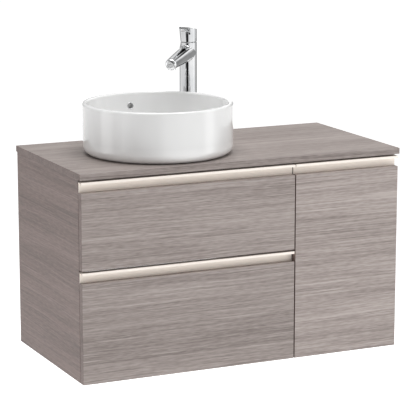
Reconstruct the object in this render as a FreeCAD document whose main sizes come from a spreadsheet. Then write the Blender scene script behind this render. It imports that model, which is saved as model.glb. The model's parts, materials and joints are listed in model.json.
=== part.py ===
import FreeCAD, Part
import os
import re
import Sketcher
from FreeCAD import Placement, Rotation, Vector

# Wall-hung vanity unit with a round countertop basin, a tall single-lever mixer, two drawers and a door.
# Frame: X to the right, Y towards the wall (the wall plane is Y = 0), Z up.
# The origin is the centre of the wall-plate screw holes.

doc = FreeCAD.newDocument("VanityUnit")
sheet = doc.addObject("Spreadsheet::Sheet", "Sizes")

driving_sizes = [
    ("cabinet_width", 900, "width of the countertop"),
    ("cabinet_depth", 460, "depth of the countertop"),
    ("cabinet_height", 535, "countertop's top to the lowest edge"),
    ("top_level", 80, "countertop's top above the wall screws"),
    ("board", 16, "thickness of the carcass boards and the countertop"),
    ("front_board", 19, "thickness of the fronts"),
    ("side_overhang", 3, "countertop past the side panels"),
    ("face_setback", 1, "fronts behind the countertop's edge"),
    ("front_gap", 2, "fronts to the carcass, kept by the buffers"),
    ("edge_ease", 0.6, "rounding of the visible board edges"),
    ("column_line", 143.5, "middle of the gap between drawers and door"),
    ("column_gap", 3, "gap between the drawer fronts and the door"),
    ("top_gap", 5, "countertop's underside to the handle lips"),
    ("row_gap", 5, "upper front to the lower handle's lip"),
    ("upper_front_low", 244, "countertop's top to the upper front's lower edge"),
    ("handle_zone", 27.5, "lip's top to the panel's top edge"),
    ("lip_height", 6.5, "front of the handle's lip"),
    ("profile_wall", 1.8, "wall of the handle profile"),
    ("profile_tongue", 20, "profile below the panel's top edge"),
    ("drawer_board", 14, "thickness of the drawer sides and backs"),
    ("drawer_floor", 8, "thickness of the drawer bottoms"),
    ("drawer_length", 350, "depth of a drawer box and its runners"),
    ("floor_groove", 6, "drawer bottom's bite in the sides"),
    ("floor_lift", 8, "drawer bottom above the sides' lower edge"),
    ("runner_space", 13, "room for a runner at each side"),
    ("upper_box_low", -150, "lower edge of the upper drawer's sides"),
    ("upper_box_high", -30, "upper edge of the upper drawer's sides"),
    ("lower_box_low", -430, "lower edge of the lower drawer's sides"),
    ("lower_box_high", -270, "upper edge of the lower drawer's sides"),
    ("runner_lift", 45, "runner's middle above the sides' lower edge"),
    ("channel_wall", 1.2, "steel of the runner channels"),
    ("rail_depth", 36, "depth of the flat front rails and of the shelf's setback"),
    ("back_rail_low", -20, "lower edge of the back rails"),
    ("back_inset", 14, "back rails and back panel in front of the wall"),
    ("shelf_level", -200, "underside of the shelf"),
    ("basin_x", -150, "basin's axis"),
    ("basin_y", -250, "basin's axis"),
    ("basin_radius", 195, "outside of the basin"),
    ("basin_height", 132.5, "basin above the countertop"),
    ("basin_wall", 12, "thickness of the basin's wall"),
    ("basin_base", 22, "rounding of the basin's foot"),
    ("bowl_round", 38, "rounding between the bowl's wall and floor"),
    ("rim_round", 5.5, "rounding of the rim's two edges"),
    ("waste_bore", 23, "radius of the basin's waste hole"),
    ("waste_cut", 25, "radius of the waste hole in the countertop"),
    ("overflow_level", 96, "overflow's axis above the countertop"),
    ("overflow_radius", 9, "radius of the overflow hole"),
    ("pipe_radius", 16, "outside of the waste pipes"),
    ("pipe_bore", 14.5, "inside of the waste pipes"),
    ("outlet_level", -80, "axis of the outlet pipe"),
    ("siphon_radius", 70, "round the trap, the drawer's cut-out"),
    ("siphon_wall", 6, "thickness of the wall round that cut-out"),
    ("mixer_x", 23, "mixer's axis"),
    ("mixer_y", -60, "mixer's axis"),
    ("mixer_radius", 23.3, "column of the mixer"),
    ("seam_level", 258.6, "joint between the mixer's column and handle"),
    ("spout_level", 232, "spout's axis at the column, above the countertop"),
    ("spout_reach", 156, "mixer's axis to the spout's end"),
    ("spout_drop", 6.5, "slope of the spout's axis, degrees"),
    ("spout_root", 20.5, "radius of the spout at the mixer's axis"),
    ("spout_tip", 15, "radius of the spout's end"),
    ("handle_tilt", 12.2, "slope of the handle's top, degrees"),
    ("handle_top", 34.4, "handle's top above the seam, on the axis"),
    ("visor_reach", 38, "visor's tip from the mixer's axis"),
    ("visor_width", 32, "width of the visor"),
    ("door_axis_in", 5, "door's pivot in from its outer edge"),
    ("door_axis_back", 11, "door's pivot behind its face"),
]
aliases = [alias for alias, _, _ in driving_sizes]
for row, (alias, value, note) in enumerate(driving_sizes, start=1):
    sheet.set(f"A{row}", alias)
    sheet.set(f"B{row}", str(value))
    sheet.setAlias(f"B{row}", alias)
    sheet.set(f"C{row}", note)
doc.recompute()

# Places that several pieces share, as expressions on the sheet.
half_width = "(cabinet_width / 2)"
side_out = f"({half_width} - side_overhang)"
side_in = f"({side_out} - board)"
divider_left = "(column_line - board / 2)"
divider_right = "(column_line + board / 2)"
top_under = "(top_level - board)"
low = "(top_level - cabinet_height)"
floor_top = f"({low} + board)"
face = "(face_setback - cabinet_depth)"
front_back = f"({face} + front_board)"
carcass_front = f"({front_back} + front_gap)"
drawer_back = f"({front_back} + drawer_length)"
upper_lip = f"({top_under} - top_gap)"
lower_lip = "(top_level - upper_front_low - row_gap)"
drawers_right = "(column_line - column_gap / 2)"
door_left = "(column_line + column_gap / 2)"
door_right = f"({side_out} - 1)"


def bound(text):
    """The expression with the sheet's name put before each alias."""
    return re.sub(
        r"[a-z][a-z_]*",
        lambda word: f"Sizes.{word.group()}" if word.group() in aliases else word.group(),
        str(text),
    )


def number(text):
    """What an expression is worth now."""
    return float(sheet.evalExpression(str(text)))


def link(thing, path, text):
    thing.setExpression(path, bound(text))


def place(thing, x=0, y=0, z=0):
    """Binds a place and keeps the turn."""
    for axis, text in (("x", x), ("y", y), ("z", z)):
        link(thing, f"Placement.Base.{axis}", text)
    return thing


parts = []


def node(thing, name):
    """Gives a finished sub-part its name."""
    thing.Label = name
    parts.append(thing)
    return thing


# Solids from primitives

def box(name, x, y, z):
    """A block between three pairs of expressions."""
    block = doc.addObject("Part::Box", name)
    for size, (start, end) in (("Length", x), ("Width", y), ("Height", z)):
        link(block, size, f"({end}) - ({start})")
    return place(block, x[0], y[0], z[0])


turns = {
    "x": Rotation(Vector(0, 1, 0), 90),
    "y": Rotation(Vector(1, 0, 0), -90),
    "z": Rotation(),
}


def rod(name, radius, length, x=0, y=0, z=0, along="z"):
    """A cylinder that runs from its place along an axis."""
    cylinder = doc.addObject("Part::Cylinder", name)
    link(cylinder, "Radius", radius)
    link(cylinder, "Height", length)
    cylinder.Placement = Placement(Vector(), turns[along])
    return place(cylinder, x, y, z)


def cut(name, base, tool):
    result = doc.addObject("Part::Cut", name)
    result.Base = base
    result.Tool = tool
    return result


def fuse(name, shapes):
    result = doc.addObject("Part::MultiFuse", name)
    result.Shapes = shapes
    return result


def group(name, shapes):
    result = doc.addObject("Part::Compound", name)
    result.Links = shapes
    return result


# Bodies from sketches

def plane(body, role):
    return next(item for item in body.Origin.OriginFeatures if item.Role == role)


def outline(body, role, corners):
    """A closed sketch whose corners are bound to the sheet."""
    sketch = body.newObject("Sketcher::SketchObject", body.Name + "Outline")
    sketch.AttachmentSupport = [(plane(body, role), "")]
    sketch.MapMode = "FlatFace"
    points = [Vector(number(x), number(y), 0) for x, y in corners]
    count = len(points)
    for index, point in enumerate(points):
        sketch.addGeometry(Part.LineSegment(point, points[(index + 1) % count]), False)
    for index in range(count):
        sketch.addConstraint(Sketcher.Constraint("Coincident", index, 2, (index + 1) % count, 1))
    for index, (x, y) in enumerate(corners):
        for kind, text, value in (("DistanceX", x, points[index].x), ("DistanceY", y, points[index].y)):
            number_of = sketch.addConstraint(Sketcher.Constraint(kind, -1, 1, index, 1, value))
            name = f"{kind[-1].lower()}_corner_{index}"
            sketch.renameConstraint(number_of, name)
            link(sketch, f"Constraints.{name}", text)
    return sketch


def turned(name, corners, x=0, y=0, z=0):
    """A body turned about its own vertical axis; corners are (radius, height)."""
    body = doc.addObject("PartDesign::Body", name)
    spin = body.newObject("PartDesign::Revolution", name + "Turn")
    spin.Profile = outline(body, "XZ_Plane", corners)
    spin.ReferenceAxis = (spin.Profile[0], ["V_Axis"])
    spin.Angle = 360
    body.Tip = spin
    return place(body, x, y, z)


def drawn(name, role, corners, length, x=0, y=0, z=0):
    """A body pushed out of a sketch, towards +X from YZ, towards -Y from XZ and towards +Z from XY."""
    body = doc.addObject("PartDesign::Body", name)
    pad = body.newObject("PartDesign::Pad", name + "Pad")
    pad.Profile = outline(body, role, corners)
    link(pad, "Length", length)
    body.Tip = pad
    return place(body, x, y, z)


def rounded(body, radius, wanted):
    """Rounds the tip's edges for which wanted(edge) holds."""
    doc.recompute()
    last = body.Tip
    names = [f"Edge{index}" for index, edge in enumerate(last.Shape.Edges, start=1) if wanted(edge)]
    fillet = body.newObject("PartDesign::Fillet", f"{body.Name}Round{len(body.Group)}")
    fillet.Base = (last, names)
    link(fillet, "Radius", radius)
    body.Tip = fillet
    return body


def circle_at(radius, height):
    """Chooses the round edges of one radius and height, in the body's own frame."""
    def wanted(edge):
        if not hasattr(edge.Curve, "Radius"):
            return False
        same_radius = abs(edge.Curve.Radius - number(radius)) < 0.01
        return same_radius and abs(edge.Curve.Center.z - number(height)) < 0.01
    return wanted


def panel(name, x, y, z):
    """A board with softly rounded edges."""
    width, depth, height = (f"(({end}) - ({start}))" for start, end in (x, y, z))
    corners = [(0, 0), (width, 0), (width, depth), (0, depth)]
    body = drawn(name, "XY_Plane", corners, height, x[0], y[0], z[0])
    return rounded(body, "edge_ease", lambda edge: True)


# Carcass

dowel_radius = 4
dowel_length = 30
dowels = []


def dowel(x, y, z, along):
    name = f"Dowel{len(dowels)}"
    dowels.append(rod(name, dowel_radius, dowel_length, x, y, z, along))


for side_start in (f"-{side_in} - 10", f"{side_in} - 20"):
    for y in (-400, -220, -40):
        dowel(side_start, y, f"{low} + board / 2", "x")
    for z in (-5, 55):
        dowel(side_start, f"-back_inset - board / 2", z, "x")
for y in (-400, -220, -40):
    dowel("column_line", y, f"{floor_top} - 10", "z")
joinery = group("Joinery", dowels)

hook_in = 12
hook_width = 12
hanger_sides = {"Left": f"-{side_in}", "Right": f"{side_in} - 30"}
slots = [
    box(
        f"HookSlot{side}",
        (f"{start} + {hook_in - 6}", f"{start} + {hook_in + hook_width - 6}"),
        (-40, 0),
        (40, 46),
    )
    for side, start in hanger_sides.items()
]

shelf_pin_radius = 2.5
shelf_pins = [
    rod(
        f"ShelfPin{side}{y}",
        shelf_pin_radius,
        16,
        f"{start} - 8",
        y,
        f"shelf_level - {shelf_pin_radius}",
        "x",
    )
    for side, start in (("Left", divider_right), ("Right", side_in))
    for y in (-390, -70)
]
pin_set = group("PinSet", shelf_pins)

whole_depth = (carcass_front, "0")
whole_height = (low, top_under)
left_board = panel("LeftBoard", (f"-{side_out}", f"-{side_in}"), whole_depth, whole_height)
node(cut("LeftSide", left_board, joinery), "side_panel_left")
right_board = panel("RightBoard", (side_in, side_out), whole_depth, whole_height)
right_bored = cut("RightBored", right_board, joinery)
node(cut("RightSide", right_bored, pin_set), "side_panel_right")
divider_board = box("DividerBoard", (divider_left, divider_right), whole_depth, (floor_top, top_under))
divider_bored = cut("DividerBored", divider_board, joinery)
node(cut("Divider", divider_bored, pin_set), "divider_panel")
floor_board = box("FloorBoard", (f"-{side_in}", side_in), whole_depth, (low, floor_top))
node(cut("Floor", floor_board, joinery), "bottom_panel")
node(joinery, "dowels")

bays = {"Left": (f"-{side_in}", divider_left), "Right": (divider_right, side_in)}
front_rails = [
    box(
        f"FrontRail{side}",
        span,
        (carcass_front, f"{carcass_front} + rail_depth"),
        (f"{top_under} - board", top_under),
    )
    for side, span in bays.items()
]
back_rail_depth = ("-back_inset - board", "-back_inset")
back_rails = [
    cut(f"BackRail{side}", box(f"BackBoard{side}", span, back_rail_depth, ("back_rail_low", top_under)), slot)
    for (side, span), slot in zip(bays.items(), slots)
]
bored_rails = [cut(f"BackRailBored{index}", rail, joinery) for index, rail in enumerate(back_rails)]
node(group("Rails", front_rails + bored_rails), "rails")
back_panel = box("BackPanel", bays["Right"], ("-back_inset - 8", "-back_inset"), (floor_top, "back_rail_low"))
node(back_panel, "back_panel")
shelf_span = (f"{divider_right} + 0.5", f"{side_in} - 0.5")
shelf_board = box(
    "ShelfBoard",
    shelf_span,
    (f"{carcass_front} + rail_depth", "-back_inset - 8"),
    ("shelf_level", "shelf_level + board"),
)
node(shelf_board, "shelf")
node(pin_set, "shelf_pins")

# Wall plates, and the brackets that hook over them

plate = 3
plate_half = 30
wall_hole_radius = 4
wall_hole_rise = 16


def wall_plate(side, middle):
    """A steel plate with two screw holes and an upturned lip in front of it."""
    span = (f"{middle} - {plate_half}", f"{middle} + {plate_half}")
    back = box(f"Plate{side}", span, (-plate, 0), (-plate_half, plate_half))
    step = box(f"PlateStep{side}", span, (-9, -plate), (plate_half - plate, plate_half))
    lip = box(f"PlateLip{side}", span, (-9, -6), (plate_half, 41))
    holes = [
        rod(f"PlateHole{side}{z}", wall_hole_radius, 3 * plate, middle, -2 * plate, z, "y")
        for z in (-wall_hole_rise, wall_hole_rise)
    ]
    return cut(
        f"WallPlate{side}",
        fuse(f"PlateBlank{side}", [back, step, lip]),
        group(f"PlateHoles{side}", holes),
    )


def hanger(side, start):
    """A bracket on the side panel, whose hook goes through the back rail and over the plate's lip."""
    inner = (start, f"{start} + 30")
    hook = (f"{start} + {hook_in - 5}", f"{start} + {hook_in + hook_width - 7}")
    case = box(f"HangerCase{side}", inner, (-75, "-back_inset - board"), (-12, 50))
    reach = box(f"HangerReach{side}", hook, (-40, -2.5), (41, 45))
    drop = box(f"HangerDrop{side}", hook, (-5, -2.5), (31, 41))
    adjuster = rod(f"HangerScrewHole{side}", 4, 10, f"{start} + 15", -80, 20, "y")
    return cut(f"Hanger{side}", fuse(f"HangerBlank{side}", [case, reach, drop]), adjuster)


node(group("WallPlates", [wall_plate("Left", -400), wall_plate("Right", 400)]), "wall_plates")
node(group("Hangers", [hanger(side, start) for side, start in hanger_sides.items()]), "hanger_brackets")

# Countertop

counter = panel(
    "CounterBoard",
    (f"-{half_width}", half_width),
    ("-cabinet_depth", "0"),
    (top_under, "top_level"),
)
waste_hole = rod("WasteHole", "waste_cut", "board + 2", "basin_x", "basin_y", f"{top_under} - 1")
mixer_hole = rod("MixerHole", 17.5, "board + 2", "mixer_x", "mixer_y", f"{top_under} - 1")
node(cut("Counter", counter, group("CounterHoles", [waste_hole, mixer_hole])), "countertop")

# Fronts with their handle profiles. The profile is open at both ends and its tongue sits in the panel's back.


def handle_profile(name, lip, span):
    panel_top = f"({lip} - handle_zone)"
    corners = [
        (face, lip),
        (front_back, lip),
        (front_back, f"{panel_top} - profile_tongue"),
        (f"{front_back} - profile_wall", f"{panel_top} - profile_tongue"),
        (f"{front_back} - profile_wall", f"{lip} - profile_wall"),
        (f"{face} + profile_wall", f"{lip} - profile_wall"),
        (f"{face} + profile_wall", f"{lip} - lip_height"),
        (face, f"{lip} - lip_height"),
    ]
    return drawn(name, "YZ_Plane", corners, f"({span[1]}) - ({span[0]})", span[0])


def front(name, lip, span, bottom):
    """A front panel and its profile."""
    profile = handle_profile(name + "Profile", lip, span)
    blank = panel(name + "Blank", span, (face, front_back), (bottom, f"{lip} - handle_zone"))
    return cut(name + "Panel", blank, profile), profile


drawer_span = (f"-{side_out}", drawers_right)
door_span = (door_left, door_right)
upper_panel, upper_profile = front("Upper", upper_lip, drawer_span, "top_level - upper_front_low")
lower_panel, lower_profile = front("Lower", lower_lip, drawer_span, low)
door_blank, door_profile = front("Door", upper_lip, door_span, low)
node(upper_panel, "upper_front")
node(upper_profile, "upper_handle")
node(lower_panel, "lower_front")
node(lower_profile, "lower_handle")
node(door_profile, "door_handle")

# Drawer boxes

box_left = f"(-{side_in} + runner_space)"
box_right = f"({divider_left} - runner_space)"
box_depth = (front_back, drawer_back)


def drawer_sides(name, bottom_board, box_low, box_high):
    left = box(name + "Left", (box_left, f"{box_left} + drawer_board"), box_depth, (box_low, box_high))
    right = box(name + "Right", (f"{box_right} - drawer_board", box_right), box_depth, (box_low, box_high))
    return cut(name, group(name + "Pair", [left, right]), bottom_board)


def bottom_blank(name, box_low):
    span = (f"{box_left} + drawer_board - floor_groove", f"{box_right} - drawer_board + floor_groove")
    return box(name, span, box_depth, (f"{box_low} + floor_lift", f"{box_low} + floor_lift + drawer_floor"))


def u_shape(name, radius, level, height):
    """A block with a half-round front, open towards the wall."""
    legs = box(
        name + "Legs",
        (f"basin_x - {radius}", f"basin_x + {radius}"),
        ("basin_y", drawer_back),
        (level, f"{level} + {height}"),
    )
    return fuse(name, [legs, rod(name + "Bow", radius, height, "basin_x", "basin_y", level)])


upper_floor_top = "(upper_box_low + floor_lift + drawer_floor)"
upper_cut = u_shape("SiphonCut", "siphon_radius", "upper_box_low", "upper_box_high - upper_box_low + 10")
upper_wall = u_shape(
    "SiphonWall",
    "(siphon_radius + siphon_wall)",
    upper_floor_top,
    f"upper_box_high - {upper_floor_top}",
)
upper_bottom = cut("UpperBottom", bottom_blank("UpperFloor", "upper_box_low"), upper_cut)
node(upper_bottom, "upper_drawer_bottom")
node(drawer_sides("UpperSides", upper_bottom, "upper_box_low", "upper_box_high"), "upper_drawer_sides")
node(cut("SiphonGuard", upper_wall, upper_cut), "upper_siphon_wall")
upper_back_span = (f"{box_left} + drawer_board", f"{box_right} - drawer_board")
back_depth = (f"{drawer_back} - drawer_board", drawer_back)
upper_back = box("UpperBackBoard", upper_back_span, back_depth, (upper_floor_top, "upper_box_high"))
outer_u = fuse("SiphonRoom", [upper_wall, upper_cut])
node(cut("UpperBacks", upper_back, outer_u), "upper_drawer_backs")

lower_floor = bottom_blank("LowerFloor", "lower_box_low")
node(lower_floor, "lower_drawer_bottom")
node(drawer_sides("LowerSides", lower_floor, "lower_box_low", "lower_box_high"), "lower_drawer_sides")
lower_back = box(
    "LowerBack",
    upper_back_span,
    back_depth,
    ("lower_box_low + floor_lift + drawer_floor", "lower_box_high"),
)
node(lower_back, "lower_drawer_back")

# Telescopic runners: a fixed rail, a middle member and the drawer's own member, one inside the other

members = {
    "Rail": {"start": 0, "end": 9, "half": 22.5, "length": "drawer_length", "web": "start"},
    "Middle": {"start": 3, "end": 10, "half": 19.5, "length": "drawer_length - 20", "web": "start"},
    "Inner": {"start": 5.5, "end": 13, "half": 16.5, "length": "drawer_length", "web": "end"},
}


def channel(kind, side, box_low):
    """One C-shaped steel channel at one side of a drawer."""
    size = members[kind]
    sign, wall = {"Left": (1, f"-{side_in}"), "Right": (-1, divider_left)}[side]
    web, open_edge = (size["start"], size["end"]) if size["web"] == "start" else (size["end"], size["start"])
    web_inner = f"{sign} * ({web} {'+' if web < open_edge else '-'} channel_wall)"
    half = size["half"]
    corners = [
        (sign * web, -half),
        (sign * open_edge, -half),
        (sign * open_edge, f"channel_wall - {half}"),
        (web_inner, f"channel_wall - {half}"),
        (web_inner, f"{half} - channel_wall"),
        (sign * open_edge, f"{half} - channel_wall"),
        (sign * open_edge, half),
        (sign * web, half),
    ]
    name = f"{kind}{side}{box_low.split('_')[0].title()}"
    end = f"{front_back} + 4 + {size['length']}" if kind != "Inner" else drawer_back
    return drawn(name, "XZ_Plane", corners, size["length"], wall, end, f"{box_low} + runner_lift")


def channels(kind, box_lows):
    return group(kind + "Set" + str(len(box_lows)) + box_lows[0].split("_")[0], [
        channel(kind, side, box_low) for box_low in box_lows for side in ("Left", "Right")
    ])


node(channels("Rail", ["upper_box_low", "lower_box_low"]), "runner_rails")
for row in ("upper", "lower"):
    node(channels("Middle", [f"{row}_box_low"]), f"{row}_middle_members")
    node(channels("Inner", [f"{row}_box_low"]), f"{row}_runner_members")

# Door hinges: a cup in the door, an arm and its base on the side panel

hinge_levels = {"Low": f"{low} + 90", "High": f"{upper_lip} - 110"}
cup_radius = 17.5
cup_x = f"({door_right} - 22.5)"


def hinge_cup(name, level):
    cup = rod(name + "Cup", cup_radius, 11.5, cup_x, f"{front_back} - 11.5", level, "y")
    hollow = rod(name + "Hollow", cup_radius - 1.5, 12, cup_x, f"{front_back} - 10.2", level, "y")
    ears = box(
        name + "Ears",
        (f"{cup_x} - 6", f"{cup_x} + 13"),
        (front_back, f"{front_back} + 1"),
        (f"{level} - 30", f"{level} + 30"),
    )
    return cut(name, fuse(name + "Blank", [cup, ears]), hollow)


def hinge_arm(name, level):
    base = box(
        name + "Base",
        (f"{side_in} - 3", side_in),
        (f"{carcass_front} + 18", f"{carcass_front} + 55"),
        (f"{level} - 24", f"{level} + 24"),
    )
    arm = box(
        name + "Arm",
        (f"{side_in} - 15", f"{side_in} - 3"),
        (f"{carcass_front} + 1", f"{carcass_front} + 60"),
        (f"{level} - 8", f"{level} + 8"),
    )
    return fuse(name, [base, arm])


cups = group("Cups", [hinge_cup("Hinge" + name, level) for name, level in hinge_levels.items()])
cup_rooms = group("CupRooms", [
    rod(f"CupRoom{name}", cup_radius, 12, cup_x, f"{front_back} - 11.5", level, "y")
    for name, level in hinge_levels.items()
])
node(cut("DoorPanelBored", door_blank, cup_rooms), "door_panel")
node(cups, "hinge_cups")
node(group("Arms", [hinge_arm("Arm" + name, level) for name, level in hinge_levels.items()]), "hinge_arms")

# Soft buffers on the carcass's front edges

buffer_places = [(f"-{side_in} - board / 2", z) for z in (20, -150, -210, -440)]
buffer_places += [("column_line - 4", z) for z in (20, -150, -210, -440)]
buffer_places += [("column_line + 4", z) for z in (-10, -420)]
buffers = [
    rod(f"Buffer{index}", 3, "front_gap - 0.4", x, f"{front_back} + 0.4", z, "y")
    for index, (x, z) in enumerate(buffer_places)
]
node(group("Buffers", buffers), "front_buffers")

# Basin

bowl_radius = "(basin_radius - basin_wall)"
bowl_foot = f"({bowl_radius} - 2)"
waste_seat = 12.5
foot_hollow = 4
basin_body = turned("BasinBody", [
    ("waste_bore", foot_hollow),
    (140, foot_hollow),
    (140, 0),
    ("basin_radius", 0),
    ("basin_radius", "basin_height"),
    (bowl_radius, "basin_height"),
    (bowl_foot, 18),
    (33, waste_seat + 2.5),
    (33, waste_seat),
    ("waste_bore", waste_seat),
], "basin_x", "basin_y", "top_level")
rounded(basin_body, "basin_base", circle_at("basin_radius", 0))
outer_rim = circle_at("basin_radius", "basin_height")
inner_rim = circle_at(bowl_radius, "basin_height")
rounded(basin_body, "rim_round", lambda edge: outer_rim(edge) or inner_rim(edge))
rounded(basin_body, "bowl_round", circle_at(bowl_foot, 18))
overflow_y = f"(basin_y + {bowl_radius})"
overflow_axis = "top_level + overflow_level"
overflow_mouth = rod(
    "OverflowMouth",
    "overflow_radius",
    24,
    "basin_x",
    f"{overflow_y} - 20",
    overflow_axis,
    "y",
)
overflow_drop = box(
    "OverflowDrop",
    ("basin_x - 12", "basin_x + 12"),
    (f"{overflow_y} + 3.5", f"{overflow_y} + 8"),
    ("top_level + 7", "top_level + overflow_level + 9"),
)
overflow_run = box(
    "OverflowRun",
    ("basin_x - 9", "basin_x + 9"),
    ("basin_y + 20", f"{overflow_y} + 8"),
    ("top_level + 6.5", "top_level + 10"),
)
overflow_way = fuse("OverflowWay", [overflow_mouth, overflow_drop, overflow_run])
node(cut("Basin", basin_body, overflow_way), "basin")
ring_front = f"{overflow_y} - 1.5"
ring_blank = rod(
    "OverflowRingBlank",
    "overflow_radius",
    4.5,
    "basin_x",
    ring_front,
    overflow_axis,
    "y",
)
ring_bore = rod(
    "OverflowRingBore",
    "overflow_radius - 2",
    6,
    "basin_x",
    f"{overflow_y} - 2",
    overflow_axis,
    "y",
)
node(cut("OverflowRing", ring_blank, ring_bore), "overflow_ring")
node(
    turned(
        "BasinSeal",
        [(26, 0), (60, 0), (60, foot_hollow), (26, foot_hollow)],
        "basin_x",
        "basin_y",
        "top_level",
    ),
    "basin_seal",
)

# Waste: threaded body with its flange, seal, nut, guide and the push-open plug

waste_level = f"(top_level + {waste_seat})"
waste_out = 20.9
waste_in = 17
waste_length = 102
waste_body = turned("WasteTube", [
    (waste_in, -waste_length),
    (waste_out, -waste_length),
    (waste_out, 0),
    (32.5, 0),
    (32.5, 2),
    (30, 3),
    (waste_in, 3),
], "basin_x", "basin_y", waste_level)
waste_window = box(
    "WasteWindow",
    ("basin_x - 7", "basin_x + 7"),
    ("basin_y", "basin_y + 25"),
    ("top_level + 6", "top_level + 10"),
)
node(cut("WasteBody", waste_body, waste_window), "waste_body")
seal_low = f"({top_under} - 4)"
node(turned("WasteSeal", [(21, 0), (36, 0), (36, 4), (21, 4)], "basin_x", "basin_y", seal_low), "waste_seal")
node(
    turned("WasteNut", [(21, -12), (31, -12), (31, 0), (21, 0)], "basin_x", "basin_y", seal_low),
    "waste_nut",
)
stem_radius = 4
guide_hub = turned(
    "GuideHub",
    [(stem_radius + 0.05, -34), (7, -34), (7, -20), (stem_radius + 0.05, -20)],
    "basin_x",
    "basin_y",
    waste_level,
)
guide_room = rod("GuideRoom", 7, 14, "basin_x", "basin_y", f"{waste_level} - 34")
guide_bars = fuse("GuideBars", [
    box(
        "GuideBarX",
        (f"basin_x - {waste_in}", f"basin_x + {waste_in}"),
        ("basin_y - 1.5", "basin_y + 1.5"),
        (f"{waste_level} - 32", f"{waste_level} - 24"),
    ),
    box(
        "GuideBarY",
        ("basin_x - 1.5", "basin_x + 1.5"),
        (f"basin_y - {waste_in - 0.2}", f"basin_y + {waste_in - 0.2}"),
        (f"{waste_level} - 32", f"{waste_level} - 24"),
    ),
])
node(fuse("Guide", [guide_hub, cut("GuideSpokes", guide_bars, guide_room)]), "plug_guide")
plug = turned("Plug", [
    (0, -44),
    (stem_radius, -44),
    (stem_radius, 1),
    (14, 1),
    (14, 3.4),
    (31, 3.4),
    (31, 5.4),
    (29, 7),
    (0, 8),
], "basin_x", "basin_y", waste_level)
node(plug, "waste_plug")

# Bottle trap and outlet

drain_low = f"({waste_level} - {waste_length})"
node(
    turned(
        "InletNut",
        [(16.1, -8), (25, -8), (25, 14), (waste_out + 0.1, 14), (waste_out + 0.1, 0), (16.1, 0)],
        "basin_x",
        "basin_y",
        drain_low,
    ),
    "trap_inlet_nut",
)
inlet_top = 10
inlet_pipe = turned(
    "InletPipe",
    [("pipe_bore", -100), ("pipe_radius", -100), ("pipe_radius", inlet_top), ("pipe_bore", inlet_top)],
    "basin_x",
    "basin_y",
    drain_low,
)
node(inlet_pipe, "trap_inlet_pipe")
bottle_radius = 33
bottle_shell = turned("BottleShell", [
    (16.2, -36),
    (22, -36),
    (22, -48),
    (bottle_radius - 6, -52),
    (bottle_radius, -58),
    (bottle_radius, -125),
    (bottle_radius - 3, -125),
    (bottle_radius - 3, -60),
    (16.2, -54),
], "basin_x", "basin_y")
spigot = rod("Spigot", 20, bottle_radius + 20, "basin_x", "basin_y", "outlet_level", "y")
bottle_core = rod("BottleCore", bottle_radius - 3, 60, "basin_x", "basin_y", -120)
spigot_bore = rod(
    "SpigotBore",
    "pipe_radius + 0.2",
    bottle_radius + 30,
    "basin_x",
    "basin_y",
    "outlet_level",
    "y",
)
spigot_solid = cut("SpigotSolid", spigot, bottle_core)
node(cut("Bottle", fuse("BottleBlank", [bottle_shell, spigot_solid]), spigot_bore), "trap_body")
node(turned("Cup", [
    (0, -150),
    (31, -150),
    (36, -145),
    (36, -112),
    (bottle_radius + 0.1, -112),
    (bottle_radius + 0.1, -126),
    (bottle_radius - 4, -126),
    (bottle_radius - 4, -144),
    (0, -147),
], "basin_x", "basin_y"), "trap_cup")
outlet_start = f"(basin_y + {bottle_radius + 8})"
outlet_nut = cut(
    "OutletNut",
    rod("OutletNutBlank", 25, 16, "basin_x", f"basin_y + {bottle_radius + 12}", "outlet_level", "y"),
    rod("OutletNutBore", 20.1, 8, "basin_x", f"basin_y + {bottle_radius + 12}", "outlet_level", "y"),
)
outlet_bore = rod(
    "OutletNutEye",
    "pipe_radius + 0.1",
    20,
    "basin_x",
    f"basin_y + {bottle_radius + 12}",
    "outlet_level",
    "y",
)
node(cut("OutletNutDone", outlet_nut, outlet_bore), "trap_outlet_nut")
outlet_free = f"(basin_y + {bottle_radius + 30})"
outlet_neck = rod(
    "OutletNeck",
    "pipe_radius - 0.3",
    f"-{outlet_start}",
    "basin_x",
    outlet_start,
    "outlet_level",
    "y",
)
outlet_run = rod("OutletRun", "pipe_radius", f"-{outlet_free}", "basin_x", outlet_free, "outlet_level", "y")
outlet_hollow = rod(
    "OutletHollow",
    "pipe_bore",
    f"2 - {outlet_start}",
    "basin_x",
    f"{outlet_start} - 1",
    "outlet_level",
    "y",
)
node(cut("Outlet", fuse("OutletBlank", [outlet_neck, outlet_run]), outlet_hollow), "outlet_pipe")

# Mixer. Its pieces are made about their own axis with the spout towards -Y, then turned towards the basin.

spout_turn = "-atan((mixer_x - basin_x) / (mixer_y - basin_y))"


def aim(thing):
    """Puts a mixer piece on the countertop and turns it towards the basin."""
    thing.Placement = Placement(Vector(), Rotation(Vector(0, 0, 1), number(spout_turn)))
    link(thing, "Placement.Rotation.Angle", spout_turn)
    return place(thing, "mixer_x", "mixer_y", "top_level")


column = turned("Column", [
    (0, 3),
    ("mixer_radius", 3),
    ("mixer_radius", "seam_level - 0.8"),
    (18, "seam_level - 0.8"),
    (18, 228),
    (0, 228),
])
column_hollow = rod("ColumnHollow", 19, 202, 0, 0, 20)


def spout_cone(name, start_radius, end_radius, length):
    """A cone along the spout's falling axis."""
    cone = doc.addObject("Part::Cone", name)
    link(cone, "Radius1", start_radius)
    link(cone, "Radius2", end_radius)
    link(cone, "Height", length)
    cone.Placement = Placement(Vector(), Rotation(Vector(1, 0, 0), number("90 + spout_drop")))
    link(cone, "Placement.Rotation.Angle", "90 + spout_drop")
    return place(cone, 0, 0, "spout_level")


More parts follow.
